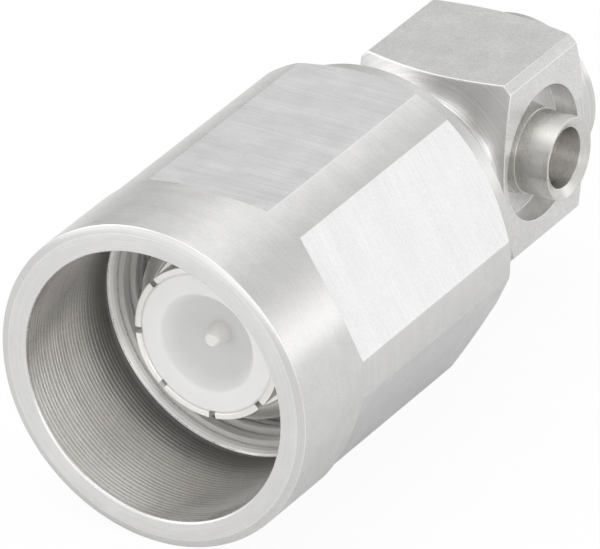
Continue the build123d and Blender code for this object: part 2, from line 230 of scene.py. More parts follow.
class Shader:
    """A node tree with short calls for the nodes that the finishes share."""

    def __init__(self, name):
        self.material = bpy.data.materials.new(name)
        self.material.use_nodes = True
        self.tree = self.material.node_tree
        self.surface = self.tree.nodes["Principled BSDF"]
        place = self.node("ShaderNodeTexCoord")
        self.place = place.outputs["Object"]

    def node(self, kind, **settings):
        made = self.tree.nodes.new(kind)
        for key, value in settings.items():
            setattr(made, key, value)
        return made

    def link(self, source, target):
        self.tree.links.new(source, target)

    def math(self, operation, first, second=0.0):
        made = self.node("ShaderNodeMath", operation=operation)
        for socket, value in zip(made.inputs, (first, second)):
            if isinstance(value, (int, float)):
                socket.default_value = value
            else:
                self.link(value, socket)
        return made.outputs[0]

    def noise(self, vector, scale, detail=2.0, roughness=0.5):
        made = self.node("ShaderNodeTexNoise")
        self.link(vector, made.inputs["Vector"])
        made.inputs["Scale"].default_value = scale
        made.inputs["Detail"].default_value = detail
        made.inputs["Roughness"].default_value = roughness
        return made.outputs["Fac"]

    def ramp(self, source, *stops):
        made = self.node("ShaderNodeValToRGB")
        self.link(source, made.inputs["Fac"])
        ramp = made.color_ramp
        while len(ramp.elements) < len(stops):
            ramp.elements.new(1.0)
        for element, (position, colour) in zip(ramp.elements, stops):
            element.position = position
            element.color = (*colour, 1.0)
        return made.outputs["Color"]

    def spread(self, source, low, high):
        """Stretches the middle half of a noise from low to high."""
        made = self.node("ShaderNodeMapRange")
        self.link(source, made.inputs["Value"])
        made.inputs["From Min"].default_value = 0.25
        made.inputs["From Max"].default_value = 0.75
        made.inputs["To Min"].default_value = low
        made.inputs["To Max"].default_value = high
        return made.outputs["Result"]

    def faded(self, colour, start, end, left):
        """The colour with painted shade, darkening along the plug axis from start to end, to the
        share left.
        """
        split = self.node("ShaderNodeSeparateXYZ")
        self.link(self.place, split.inputs[0])
        share = self.node("ShaderNodeMapRange", interpolation_type="SMOOTHSTEP")
        self.link(split.outputs["Y"], share.inputs["Value"])
        share.inputs["From Min"].default_value = start * MM
        share.inputs["From Max"].default_value = end * MM
        share.inputs["To Min"].default_value = 1.0
        share.inputs["To Max"].default_value = left
        made = self.node("ShaderNodeVectorMath", operation="SCALE")
        self.link(colour, made.inputs[0])
        self.link(share.outputs["Result"], made.inputs["Scale"])
        return made.outputs[0]

    def mix(self, share, first, second):
        made = self.node("ShaderNodeMixShader")
        if isinstance(share, (int, float)):
            made.inputs[0].default_value = share
        else:
            self.link(share, made.inputs[0])
        self.link(first, made.inputs[1])
        self.link(second, made.inputs[2])
        return made.outputs[0]

    def bump(self, height, distance, normal=None):
        made = self.node("ShaderNodeBump")
        made.inputs["Strength"].default_value = 1.0
        made.inputs["Distance"].default_value = distance * MICRON
        self.link(height, made.inputs["Height"])
        if normal is not None:
            self.link(normal, made.inputs["Normal"])
        return made.outputs["Normal"]

    def turned_place(self, axis="Y", across=0.03, straight=False):
        """Coordinates that change fast with radius and depth, and slowly round a turning axis.

        Straight lines, as a milling cutter leaves them, don't follow the radius.
        """
        centre = self.node("ShaderNodeVectorMath", operation="SUBTRACT")
        self.link(self.place, centre.inputs[0])
        centre.inputs[1].default_value = (0, CABLE_AXIS * MM, 0) if axis == "X" else (0, 0, 0)
        split = self.node("ShaderNodeSeparateXYZ")
        self.link(centre.outputs[0], split.inputs[0])
        first, second = ("Y", "Z") if axis == "X" else ("X", "Z")
        flat = self.node("ShaderNodeCombineXYZ")
        self.link(split.outputs[first], flat.inputs["X"])
        self.link(split.outputs[second], flat.inputs["Z"])
        length = self.node("ShaderNodeVectorMath", operation="LENGTH")
        self.link(flat.outputs[0], length.inputs[0])
        made = self.node("ShaderNodeCombineXYZ")
        fast = split.outputs[axis]
        if not straight:
            fast = self.math("ADD", fast, length.outputs["Value"])
        self.link(fast, made.inputs["X"])
        self.link(self.math("MULTIPLY", split.outputs[first], across), made.inputs["Y"])
        self.link(self.math("MULTIPLY", split.outputs[second], across), made.inputs["Z"])
        return made.outputs[0]

    def rings(self, place, pitch, wander):
        """Tool rings from 0 to 1, thin at their crests, that wander a little from their places."""
        split = self.node("ShaderNodeSeparateXYZ")
        self.link(place, split.inputs[0])
        drift = self.math("MULTIPLY", self.noise(place, RING_DRIFT_SCALE, detail=3.0), wander)
        count = self.math("DIVIDE", self.math("ADD", split.outputs["X"], drift), pitch)
        wave = self.math("SINE", self.math("MULTIPLY", count, 2 * math.pi))
        level = self.math("ADD", self.math("MULTIPLY", wave, 0.5), 0.5)
        return self.math("POWER", level, RING_SHARPNESS)

    def grain_along(self, axis, stretch):
        """Grooves run round the axis, so gloss stretches across them."""
        tangent = self.node("ShaderNodeTangent", direction_type="RADIAL", axis=axis)
        self.surface.inputs["Anisotropic"].default_value = stretch
        self.surface.inputs["Anisotropic Rotation"].default_value = 0.25
        self.link(tangent.outputs["Tangent"], self.surface.inputs["Tangent"])


def metal(
    name,
    tone,
    gloss,
    marks,
    axis="Y",
    stretch=0.9,
    patches=0.02,
    straight=False,
    rings=None,
    grain=0.0,
    painted_shade=None,
):
    """Plated metal: tool marks in a few sizes, faint clouds in the plating and uneven gloss.

    Each mark is (scale, height, depth of colour, pace round the axis), and a slow pace draws it
    out into a line. Rings are (pitch, height, depth of colour), grain is the depth of a fine
    speckle, and painted_shade is painted shade that darkens the plating along the plug axis, as
    (start, end, share of the tone left). Heights are in micrometres, the pitch and places in
    millimetres.
    """
    shader = Shader(name)
    surface = shader.surface
    surface.inputs["Metallic"].default_value = 1.0
    shader.grain_along(axis, stretch)
    clouds = shader.noise(shader.place, CLOUD_SCALE, detail=5.0, roughness=0.6)
    change = shader.math("SUBTRACT", clouds, 0.5)
    colour = shader.math("MULTIPLY", change, patches * CONTRAST)
    gloss_change = shader.math("MULTIPLY", change, GLOSS_CHANGE)
    normal = None
    for scale, height, depth, across in marks:
        place = shader.turned_place(axis, across, straight)
        lines = shader.noise(place, scale, detail=3.0, roughness=0.65)
        centred = shader.math("SUBTRACT", lines, 0.5)
        colour = shader.math("ADD", colour, shader.math("MULTIPLY", centred, depth * CONTRAST))
        duller = shader.math("MULTIPLY", centred, GLOSS_CHANGE)
        gloss_change = shader.math("ADD", gloss_change, duller)
        normal = shader.bump(lines, height, normal)
    if rings:
        pitch, height, depth = rings
        place = shader.turned_place(axis, RING_PACE, straight=True)
        ridges = shader.rings(place, pitch * MM, pitch * MM * RING_DRIFT)
        patchy = shader.noise(shader.place, RING_PATCH_SCALE, detail=4.0)
        strength = shader.spread(patchy, *RING_UNEVENNESS)
        centred = shader.math("MULTIPLY", shader.math("SUBTRACT", ridges, RING_MEAN), strength)
        colour = shader.math("ADD", colour, shader.math("MULTIPLY", centred, depth * CONTRAST))
        normal = shader.bump(ridges, height, normal)
    if grain:
        speckle = shader.noise(shader.place, SPECKLE_SCALE, detail=2.0)
        centred = shader.math("SUBTRACT", speckle, 0.5)
        colour = shader.math("ADD", colour, shader.math("MULTIPLY", centred, grain * CONTRAST))
    shade = shader.math("ADD", shader.math("MULTIPLY", colour, 0.5), 0.5)
    # Marks brighten the tone up to white at most, and darken it as far, or further with rings.
    rise = min(MOST_RISE, 1 / max(tone) - 1)
    fall = GROOVE_FALL if rings else rise
    dark = tuple(c * (1 - fall) for c in tone)
    light = tuple(c * (1 + rise) for c in tone)
    base = shader.ramp(shade, (0.5 - fall / 2, dark), (0.5 + rise / 2, light))
    # Painted shade: the plating darkens along the plug axis
    if painted_shade:
        base = shader.faded(base, *painted_shade)
    shader.link(base, surface.inputs["Base Color"])
    rough = shader.math("MULTIPLY", shader.math("ADD", gloss_change, 1.0), gloss)
    shader.link(rough, surface.inputs["Roughness"])
    shader.link(normal, surface.inputs["Normal"])
    return shader.material


def insulator_material():
    """White fluoropolymer, waxy and slightly see-through, with painted shade darkening down its
    bowl.
    """
    shader = Shader("white_insulator_finish")
    surface = shader.surface
    marks = shader.noise(shader.turned_place(), 9000.0, detail=2.0)
    clouds = shader.noise(shader.place, 600.0, detail=3.0)
    white = shader.ramp(clouds, (0.3, (0.94, 0.94, 0.935)), (0.7, (0.97, 0.97, 0.965)))
    # Painted shade: the white darkens down the bowl towards the pin
    shadowed = shader.faded(white, INSULATOR_FRONT, INSULATOR_FRONT + BOWL_DEPTH, BOWL_PAINTED_SHADE_TONE)
    shader.link(shadowed, surface.inputs["Base Color"])
    shader.link(shader.spread(clouds, 0.42, 0.55), surface.inputs["Roughness"])
    shader.link(shader.bump(marks, 2.0), surface.inputs["Normal"])
    surface.inputs["Subsurface Weight"].default_value = 0.12
    surface.inputs["Subsurface Radius"].default_value = (1.0, 0.95, 0.9)
    surface.inputs["Subsurface Scale"].default_value = 0.5 * MM
    return shader.material


def rubber_material():
    """Black seal rubber with a dull bloom."""
    shader = Shader("seal_rubber_finish")
    surface = shader.surface
    bloom = shader.noise(shader.place, 900.0, detail=5.0)
    shader.link(
        shader.ramp(bloom, (0.3, (0.018, 0.018, 0.018)), (0.7, (0.035, 0.034, 0.033))),
        surface.inputs["Base Color"],
    )
    shader.link(shader.spread(bloom, 0.5, 0.7), surface.inputs["Roughness"])
    shader.link(shader.bump(bloom, 10.0), surface.inputs["Normal"])
    return shader.material


# Tones of the plating, and of bare spring steel
PLATE = (0.840, 0.835, 0.823)
MILLED_PLATE = (0.845, 0.845, 0.843)
TURNED_PLATE = (0.79, 0.785, 0.775)
RIM_PLATE = (0.865, 0.86, 0.848)
BEVEL_PLATE = (0.76, 0.755, 0.745)
# Broken edges: brighter plating as a painted highlight
EDGE_HIGHLIGHT_PLATE = (0.9, 0.895, 0.885)
# Bore and lip: the nut's plating made brighter, as painted light inside the mouth
BORE_LIT_PLATE = (0.97, 0.95, 0.925)
LIP_LIT_PLATE = (0.95, 0.945, 0.93)
FERRULE_PLATE = (0.77, 0.755, 0.73)
SILVER_PLATE = (0.98, 0.97, 0.945)
SPRING_STEEL = (0.95, 0.94, 0.92)

outer_finish = metal(
    "nut_turned_finish",
    PLATE,
    0.30,
    [(2600, 0.1, 0.015, 0.03), (11000, 0.1, 0.045, 0.03)],
    patches=0.05,
    grain=0.06,
)
flat_finish = metal(
    "nut_flat_finish",
    MILLED_PLATE,
    0.33,
    [(1300, 0.1, 0.012, 0.02), (5500, 0.1, 0.03, 0.02), (12000, 0.1, 0.08, 0.02)],
    straight=True,
    patches=0.05,
    grain=0.06,
)
rim_finish = metal(
    "nut_rim_finish",
    RIM_PLATE,
    0.30,
    [(8000, 1.5, 0.05, 0.04)],
    patches=0.04,
    grain=0.02,
)
rim_bevel_finish = metal("rim_bevel_finish", BEVEL_PLATE, 0.22, [(9000, 1.0, 0.05, 0.02)])
# Painted highlight along the broken edges, with random nicks
edge_highlight_finish = metal("edge_highlight_finish", EDGE_HIGHLIGHT_PLATE, 0.28, [(5000, 0.1, 0.025, 1.0)], patches=0.05)
# Painted light in a brighter bore plating, and painted shade darkening it deeper in
bore_lit_and_shaded_plating = metal(
    "bore_lit_and_shaded_plating",
    BORE_LIT_PLATE,
    0.30,
    [(2500, 4.0, 0.08, 0.03), (9000, 3.0, 0.12, 0.01)],
    rings=(0.28, 14.0, 0.08),
    patches=0.12,
    grain=0.16,
    # painted shade, darker deep in the bore towards the lip
    painted_shade=(5.0, 8.2, 0.40),
)
block_finish = metal(
    "block_milled_finish",
    PLATE,
    0.34,
    [(5000, 0.8, 0.02, 0.4)],
    stretch=0.3,
    patches=0.05,
    grain=0.12,
)
cone_finish = metal(
    "block_turned_finish",
    TURNED_PLATE,
    0.24,
    [(4500, 3.0, 0.09, 0.012), (11000, 1.5, 0.09, 0.012)],
)
# Painted light: the lip's plating is brighter than the nut's outside
lip_lit_plating = metal(
    "lip_lit_plating",
    LIP_LIT_PLATE,
    0.34,
    [(12000, 2.0, 0.03, 0.004)],
    rings=(0.16, 3.0, 0.03),
)
ferrule_finish = metal(
    "ferrule_finish",
    FERRULE_PLATE,
    0.28,
    [(5000, 0.8, 0.05, 0.06), (12000, 0.4, 0.04, 0.10)],
    axis="X",
    patches=0.08,
    grain=0.04,
)
contact_finish = metal("contact_finish", SILVER_PLATE, 0.26, [(7000, 1.0, 0.01, 0.05)])
spring_finish = metal("spring_finish", SPRING_STEEL, 0.60, [(6000, 1.0, 0.05, 0.01)], patches=0.04)
insulator_finish = insulator_material()
rubber_finish = rubber_material()


# Mesh building
WELD_DISTANCE = 1e-8
SHARP_ANGLE = 40.0
NORMAL_WEIGHT = 80
NUT_EDGE = 0.05
BODY_EDGE = 0.045
SMALL_CORNER = 0.03
CORNER_SHARE = 0.4
CORNER_STEPS = 3
BOWL_STEPS = 20
NOSE_STEPS = 10
PIN_SEGMENTS = 64
SLEEVE_SEGMENTS = 128


def new_object(name, vertices, faces, material):
    """A welded mesh from points in millimetres, with its normals outward."""
    mesh = bpy.data.meshes.new(name)
    mesh.from_pydata([tuple(c * MM for c in v) for v in vertices], [], faces)
    mesh.materials.append(material)
    made = bpy.data.objects.new(name, mesh)
    bpy.context.scene.collection.objects.link(made)
    tidy = bmesh.new()
    tidy.from_mesh(mesh)
    bmesh.ops.remove_doubles(tidy, verts=tidy.verts, dist=WELD_DISTANCE)
    bmesh.ops.recalc_face_normals(tidy, faces=tidy.faces)
    tidy.to_mesh(mesh)
    tidy.free()
    mesh.shade_smooth()
    return made


def weigh_normals(made):
    """Keeps wide faces flat beside narrow ones."""
    weights = made.modifiers.new("weights", "WEIGHTED_NORMAL")
    weights.weight = NORMAL_WEIGHT
    weights.keep_sharp = True


def soften(made, width, degrees, edge_material):
    """Breaks the sharp edges, which get a brighter finish of their own as a painted highlight."""
    bevel = made.modifiers.new("edge_break", "BEVEL")
    bevel.material = edge_material
    bevel.width = width * MM
    bevel.segments = 2
    bevel.limit_method = "ANGLE"
    bevel.angle_limit = math.radians(degrees)
    bevel.use_clamp_overlap = True
    bevel.miter_outer = "MITER_ARC"
    weigh_normals(made)


def tie(made, body, node):
    """Lets the piece ride on its body, in place of its CAD node."""
    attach(made, body)
    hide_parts(node)


def finish_piece(made, body, node):
    """Shades the piece, sharp at its corners, and ties it."""
    made.data.set_sharp_from_angle(angle=math.radians(SHARP_ANGLE))
    weigh_normals(made)
    tie(made, body, node)


def columns_to_mesh(columns):
    """Joins equal-length columns of points, one per angle, into a closed ring of faces."""
    count = len(columns)
    length = len(columns[0])
    vertices = [point for column in columns for point in column]
    faces = []
    for i in range(count):
        j = (i + 1) % count
        for k in range(length):
            m = (k + 1) % length
            faces.append((i * length + k, i * length + m, j * length + m, j * length + k))
    return vertices, faces


def around(radius, y, angle):
    """The point at that angle round the plug axis."""
    return (radius * math.cos(angle), y, radius * math.sin(angle))


def smooth_curve(handles, steps):
    """Points along the smooth curve that these handles pull."""
    curve = []
    for step in range(steps + 1):
        points = [Vector(handle) for handle in handles]
        while len(points) > 1:
            points = [a.lerp(b, step / steps) for a, b in zip(points, points[1:])]
        curve.append(tuple(points[0]))
    return curve


def rounded(outline, radius):
    """The closed outline with each corner off the axis turned into a small arc."""
    points = []
    count = len(outline)
    for i, here in enumerate(outline):
        corner = Vector(here)
        before = Vector(outline[i - 1]) - corner
        after = Vector(outline[(i + 1) % count]) - corner
        if here[0] < 1e-6:
            points.append(here)
            continue
        reach = min(radius, before.length * CORNER_SHARE, after.length * CORNER_SHARE)
        start = corner + before.normalized() * reach
        end = corner + after.normalized() * reach
        for step in range(CORNER_STEPS + 1):
            t = step / CORNER_STEPS
            near = start.lerp(corner, t)
            far = corner.lerp(end, t)
            points.append(tuple(near.lerp(far, t)))
    return points


def lathe(
    name,
    outline,
    material,
    node,
    body="connector_body",
    segments=192,
    corner=SMALL_CORNER,
):
    """Turns a closed outline of (radius, place) points round the plug axis."""
    soft = rounded(outline, corner) if corner else outline
    columns = []
    for i in range(segments):
        angle = 2 * math.pi * i / segments
        columns.append([around(radius, y, angle) for radius, y in soft])
    made = new_object(name, *columns_to_mesh(columns), material)
    finish_piece(made, body, node)


def nut_angles():
    """Angles round the nut, with one exactly on each long edge of each flat."""
    half = math.acos(FLAT_DISTANCE / NUT_RADIUS)
    gap = math.pi / 3 - 2 * half
    flat_steps = 24
    land_steps = 10
    angles = []
    for side in range(6):
        middle = math.pi / 6 + side * math.pi / 3
        for step in range(flat_steps):
            angles.append(middle - half + 2 * half * step / flat_steps)
        for step in range(land_steps):
            angles.append(middle + half + gap * step / land_steps)
    return angles


def flat_offset(angle):
    """Angle from the middle of the nearest flat."""
    step = math.pi / 3
    return (angle - math.pi / 6 + step / 2) % step - step / 2


# Places of the finishes in the nut's list of materials
OUTER_SKIN, FLAT_SKIN, BORE_SKIN, RIM_SKIN, RIM_BEVEL_SKIN, LIP_SKIN, EDGE_SKIN = range(7)


def coupling_nut():
    """The nut's outside and inside as one closed skin."""
    half = math.acos(FLAT_DISTANCE / NUT_RADIUS)
    groove_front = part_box("retaining_ring")[0].y / MM - RING_GROOVE_PLAY
    groove_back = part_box("retaining_ring")[1].y / MM + RING_GROOVE_PLAY
    inside = [
        (CHAMBER_RADIUS + EDGE_BREAK, NUT_BACK),
        (CHAMBER_RADIUS, NUT_BACK - EDGE_BREAK),
        (CHAMBER_RADIUS, groove_back),
        (CHAMBER_RADIUS + RING_GROOVE_DEPTH, groove_back),
        (CHAMBER_RADIUS + RING_GROOVE_DEPTH, groove_front),
        (CHAMBER_RADIUS, groove_front),
        (CHAMBER_RADIUS, LIP_BACK),
        (LIP_RADIUS, LIP_BACK),
        (LIP_RADIUS, LIP_BACK - LIP_LAND),
        (MOUTH_RADIUS, MOUTH_DEPTH),
        (MOUTH_RADIUS + RELIEF_DEPTH, MOUTH_DEPTH),
        (MOUTH_RADIUS + RELIEF_DEPTH, MOUTH_DEPTH - RELIEF_WIDTH),
        (MOUTH_RADIUS, MOUTH_DEPTH - RELIEF_WIDTH),
        (MOUTH_RADIUS, MOUTH_CHAMFER),
        (MOUTH_RADIUS + MOUTH_CHAMFER, 0),
    ]
    columns = []
    for angle in nut_angles():
        offset = abs(flat_offset(angle))
        # A short slant leads from the round front down to each flat, and a bevel ends it behind
        if offset < half - 1e-6:
            edge_radius = FLAT_DISTANCE / math.cos(offset)
            front = FLAT_FRONT + FLAT_DISTANCE - NUT_RADIUS * math.cos(offset)
            back = LAND_BACK + NUT_RADIUS - edge_radius
        else:
            edge_radius = NUT_RADIUS
            front = FLAT_FRONT
            back = LAND_BACK
        outside = [
            (NUT_RADIUS - RIM_CHAMFER_WIDTH, 0),
            (NUT_RADIUS, RIM_CHAMFER_DEPTH),
            (NUT_RADIUS, front),
            (edge_radius, FLAT_FRONT),
            (edge_radius, back),
            (COLLAR_RADIUS, LAND_BACK + NUT_RADIUS - COLLAR_RADIUS),
            (COLLAR_RADIUS, NUT_BACK - EDGE_BREAK),
            (COLLAR_RADIUS - EDGE_BREAK, NUT_BACK),
        ]
        columns.append([around(r, y, angle) for r, y in outside + inside])
    vertices, faces = columns_to_mesh(columns)
    made = new_object("nut_shell", vertices, faces, outer_finish)
    for finish in (flat_finish, bore_lit_and_shaded_plating, rim_finish, rim_bevel_finish, lip_lit_plating, edge_highlight_finish):
        made.data.materials.append(finish)
    for face in made.data.polygons:
        face.material_index = nut_skin(face)
    soften(made, NUT_EDGE, degrees=14.0, edge_material=EDGE_SKIN)
    tie(made, "nut", "coupling_nut")


def nut_skin(face):
    """Which of the nut's finishes a face has."""
    centre = face.center / MM
    distance = math.hypot(centre.x, centre.z)
    near_bore = distance < MOUTH_RADIUS + 2 * RELIEF_DEPTH
    faces_front = face.normal.y < -0.9
    if near_bore and not faces_front and centre.y > MOUTH_CHAMFER:
        return BORE_SKIN if centre.y < MOUTH_DEPTH else LIP_SKIN
    if centre.y < RIM_CHAMFER_DEPTH:
        return RIM_BEVEL_SKIN if distance > NUT_RADIUS - RIM_CHAMFER_WIDTH else RIM_SKIN
    flat_back = LAND_BACK + NUT_RADIUS - FLAT_DISTANCE
    faces_sideways = abs(face.normal.y) < 0.1
    below_round = distance < NUT_RADIUS - 0.01
    square_on = abs(flat_offset(math.atan2(face.normal.z, face.normal.x))) < 0.002
    if FLAT_FRONT < centre.y < flat_back and faces_sideways and below_round and square_on:
        return FLAT_SKIN
    return OUTER_SKIN


def block_radius(angle):
    """Distance from the axis to the side of the square block, whose long edges are bevelled."""
    x = abs(math.cos(angle))
    z = abs(math.sin(angle))
    sides = [
        BLOCK_HALF_WIDTH / max(x, 1e-9),
        BLOCK_HALF_HEIGHT / max(z, 1e-9),
        (BLOCK_HALF_WIDTH + BLOCK_HALF_HEIGHT - BLOCK_EDGE_CHAMFER) / (x + z),
    ]
    return min(sides)


BLOCK_STEP = math.radians(1.6)


def block_angles():
    """Angles round the block, with one exactly on each of its long edges."""
    low = math.atan2(BLOCK_HALF_HEIGHT - BLOCK_EDGE_CHAMFER, BLOCK_HALF_WIDTH)
    high = math.atan2(BLOCK_HALF_HEIGHT, BLOCK_HALF_WIDTH - BLOCK_EDGE_CHAMFER)
    corners = []
    for quarter in range(4):
        first, second = (low, high) if quarter % 2 == 0 else (math.pi / 2 - high, math.pi / 2 - low)
        base = quarter * math.pi / 2
        corners += [base + first, base + second]
    angles = []
    for i, corner in enumerate(corners):
        following = corners[(i + 1) % len(corners)]
        gap = (following - corner) % (2 * math.pi)
        steps = max(3, round(gap / BLOCK_STEP))
        angles += [corner + gap * k / steps for k in range(steps)]
    return angles


# Faces whose normals lean less than this along the plug axis are the block's sides, and
# everything within the radius is turned
SIDEWAYS = 0.3
TURNED_RADIUS = 5.2

# Places of the finishes in the body's list of materials
MILLED_SKIN, TURNED_SKIN, BROKEN_SKIN = range(3)


def angle_body():
    """Neck, collar, block and boss as one skin, then the pocket cut into the side.

    A row of points just inside the block's front edges keeps the turned face true up to them.
    """
    collar_back = BLOCK_FRONT - NECK_GROOVE_WIDTH
    collar_front = collar_back - NECK_COLLAR_LENGTH
    cone_front = BLOCK_FRONT - FRONT_SLOPE * NECK_GROOVE_RADIUS
    cone_back = BOSS_FRONT + REAR_SLOPE * BOSS_RADIUS
    start = NUT_BACK - HIDDEN_NECK_LENGTH
    core_radius = NECK_RADIUS - BODY_WALL
    cap_seat_radius = CAP_RADIUS + CAP_PLAY
    columns = []
    for angle in block_angles():
        reach = block_radius(angle)
        edge_row = reach - BLOCK_EDGE_ROW
        outline = [
            (core_radius, start),
            (NECK_RADIUS, start),
            (NECK_RADIUS, collar_front),
            (NECK_COLLAR_RADIUS, collar_front + EDGE_BREAK),
            (NECK_COLLAR_RADIUS, collar_back - EDGE_BREAK),
            (NECK_COLLAR_RADIUS - EDGE_BREAK, collar_back),
            (NECK_GROOVE_RADIUS, collar_back),
            (NECK_GROOVE_RADIUS, BLOCK_FRONT),
            (edge_row, cone_front + FRONT_SLOPE * edge_row),
            (reach, cone_front + FRONT_SLOPE * reach),
            (reach, cone_back - REAR_SLOPE * reach),
            (BOSS_RADIUS, BOSS_FRONT),
            (BOSS_RADIUS, BOSS_BACK - BOSS_CHAMFER),
            (BOSS_RADIUS - BOSS_CHAMFER, BOSS_BACK),
            (cap_seat_radius, BOSS_BACK),
            (cap_seat_radius, BOSS_BACK - CAP_SEAT_DEPTH),
            (core_radius, BOSS_BACK - CAP_SEAT_DEPTH),
        ]
        columns.append([around(r, y, angle) for r, y in outline])
    vertices, faces = columns_to_mesh(columns)
    made = new_object("body_shell", vertices, faces, block_finish)
    made.data.materials.append(cone_finish)
    made.data.materials.append(edge_highlight_finish)
    for face in made.data.polygons:
        distance = math.hypot(face.center.x, face.center.z)
        if abs(face.normal.y) > SIDEWAYS or distance < TURNED_RADIUS * MM:
            face.material_index = TURNED_SKIN
    join_flat_faces(made.data)
    made.data.shade_smooth()
    cut_pocket(made)
    soften(made, BODY_EDGE, degrees=16.0, edge_material=BROKEN_SKIN)
    tie(made, "connector_body", "angle_body")


def join_flat_faces(mesh):
    """Makes one face of each flat side of the block and leaves the turned faces as they are."""
    edit = bmesh.new()
    edit.from_mesh(mesh)

    def on_a_side(part):
        return all(abs(face.normal.y) < SIDEWAYS for face in part.link_faces)

    bmesh.ops.dissolve_limit(
        edit,
        angle_limit=math.radians(0.2),
        verts=[v for v in edit.verts if on_a_side(v)],
        edges=[e for e in edit.edges if on_a_side(e)],
        delimit={"MATERIAL"},
    )
    edit.to_mesh(mesh)
    edit.free()


def cut_pocket(made):
    """Cuts the round pocket for the ferrule, from its floor out past the block's side."""
    segments = SLEEVE_SEGMENTS
    past_side = 1.0
    vertices = []
    for x in (BLOCK_HALF_WIDTH - POCKET_DEPTH, BLOCK_HALF_WIDTH + past_side):
        for i in range(segments):
            angle = 2 * math.pi * i / segments
            y = CABLE_AXIS + POCKET_RADIUS * math.cos(angle)
            vertices.append((x, y, POCKET_RADIUS * math.sin(angle)))
    faces = [tuple(range(segments)), tuple(range(2 * segments - 1, segments - 1, -1))]
    for i in range(segments):
        j = (i + 1) % segments
        faces.append((i, j, segments + j, segments + i))
    cutter = new_object("pocket_cutter", vertices, faces, cone_finish)
    cut = made.modifiers.new("pocket", "BOOLEAN")
    cut.operation = "DIFFERENCE"
    cut.solver = "EXACT"
    cut.object = cutter
    depsgraph = bpy.context.evaluated_depsgraph_get()
    mesh = bpy.data.meshes.new_from_object(made.evaluated_get(depsgraph), depsgraph=depsgraph)
    made.modifiers.clear()
    made.data = mesh
    bpy.data.objects.remove(cutter)


def cable_ferrule():
    """Solder sleeve, turned about the cable axis."""
    pocket_floor = BLOCK_HALF_WIDTH - POCKET_DEPTH
    base_end = pocket_floor + FERRULE_BASE_LENGTH
    floor_end = FERRULE_SEAT + FERRULE_FLOOR_THICKNESS
    outline = rounded(
        [
            (FERRULE_SEAT, FERRULE_FLOOR_BORE),
            (FERRULE_SEAT, FERRULE_SEAT_RADIUS),
            (pocket_floor, FERRULE_SEAT_RADIUS),
            (pocket_floor, FERRULE_BASE_RADIUS),
            (base_end, FERRULE_RADIUS + FERRULE_BASE_STEP),
            (base_end, FERRULE_RADIUS),
            (FERRULE_END, FERRULE_RADIUS),
            (FERRULE_END, FERRULE_MOUTH_RADIUS),
            (FERRULE_END - FERRULE_MOUTH_DEPTH, FERRULE_BORE_RADIUS),
            (floor_end, FERRULE_BORE_RADIUS),
            (floor_end, FERRULE_FLOOR_BORE),
        ],
        SMALL_CORNER,
    )
    columns = []
    for i in range(SLEEVE_SEGMENTS):
        angle = 2 * math.pi * i / SLEEVE_SEGMENTS
        columns.append(
            [(x, CABLE_AXIS + r * math.cos(angle), r * math.sin(angle)) for x, r in outline]
        )
    made = new_object("solder_sleeve", *columns_to_mesh(columns), ferrule_finish)
    finish_piece(made, "connector_body", "cable_ferrule")


def outer_contact():
    """Slotted basket, with a column on each side of each slot."""
    inner = BASKET_RADIUS - BASKET_WALL
    slot_back = BASKET_FRONT + SLOT_LENGTH
    finger_steps = 20
    lip_steps = 4
    lip = []
    for step in range(lip_steps + 1):
        turn = math.pi / 2 * step / lip_steps
        inward = BASKET_LIP * (1 - math.sin(turn))
        back = BASKET_LIP * (1 - math.cos(turn))
        lip.append((inner + inward, BASKET_FRONT + back))
    lip = lip[::-1]
    lip += [(BASKET_RADIUS - (x - inner), y) for x, y in reversed(lip)]
    vertices = []
    faces = []
    half_slot = math.asin(SLOT_WIDTH / 2 / BASKET_RADIUS)
    pitch = 2 * math.pi / SLOT_COUNT

    def add_column(angle, outline):
        first = len(vertices)
        vertices.extend(around(r, y, angle) for r, y in outline)
        return first

    finger_root = BASKET_FRONT + FINGER_RING_LENGTH
    finger = [(inner, slot_back)] + lip + [(BASKET_RADIUS, slot_back)]
    ring = [
        (inner, slot_back),
        (BASKET_RADIUS, slot_back),
        (BASKET_RADIUS, finger_root),
        (BASKET_SLEEVE_RADIUS, finger_root),
        (BASKET_SLEEVE_RADIUS, BASKET_BACK),
        (inner, BASKET_BACK),
    ]
    for slot in range(SLOT_COUNT):
        middle = math.radians(SLOT_PHASE) + slot * pitch
        start = middle + half_slot
        gap = pitch - 2 * half_slot
        angles = [start + gap * k / finger_steps for k in range(finger_steps + 1)]
        starts = [add_column(angle, finger) for angle in angles]
        size = len(finger)
        for a, b in zip(starts, starts[1:]):
            for k in range(size):
                m = (k + 1) % size
                # The finger's root stays open, where it grows out of the ring
                if {k, m} == {0, size - 1}:
                    continue
                faces.append((a + k, a + m, b + m, b + k))
        for a in (starts[0], starts[-1]):
            faces.append(tuple(a + k for k in range(size)))
        rings = [add_column(angle, ring) for angle in angles]
        rings += [add_column(start + gap + half_slot * k, ring) for k in (1, 2)]
        sides = len(ring)
        for index, (a, b) in enumerate(zip(rings, rings[1:])):
            for k in range(sides):
                # Only the slots' floors close the ring in front
                if k == 0 and index < finger_steps:
                    continue
                m = (k + 1) % sides
                faces.append((a + k, a + m, b + m, b + k))
    made = new_object("basket_fingers", vertices, faces, contact_finish)
    finish_piece(made, "connector_body", "outer_contact")


def wave_share(turn):
    """How much of the full wave the wire has at that turn: none in the flat ends."""
    return max(0, min(1, turn - FLAT_END_TURNS, SPRING_TURNS - FLAT_END_TURNS - turn))


def wire_height(turn):
    """How far the wire's middle has risen there, so that waves of next turns just clear."""
    earlier = sum(wave_share(turn - back) for back in range(1, math.ceil(turn) + 1))
    level = turn * (SPRING_THICKNESS + TURN_GAP) + WAVE_HEIGHT * (wave_share(turn) + 2 * earlier)
    wave = math.sin(math.radians(360 * WAVES_PER_TURN * turn + WAVE_PHASE))
    return level + WAVE_HEIGHT * wave_share(turn) * wave


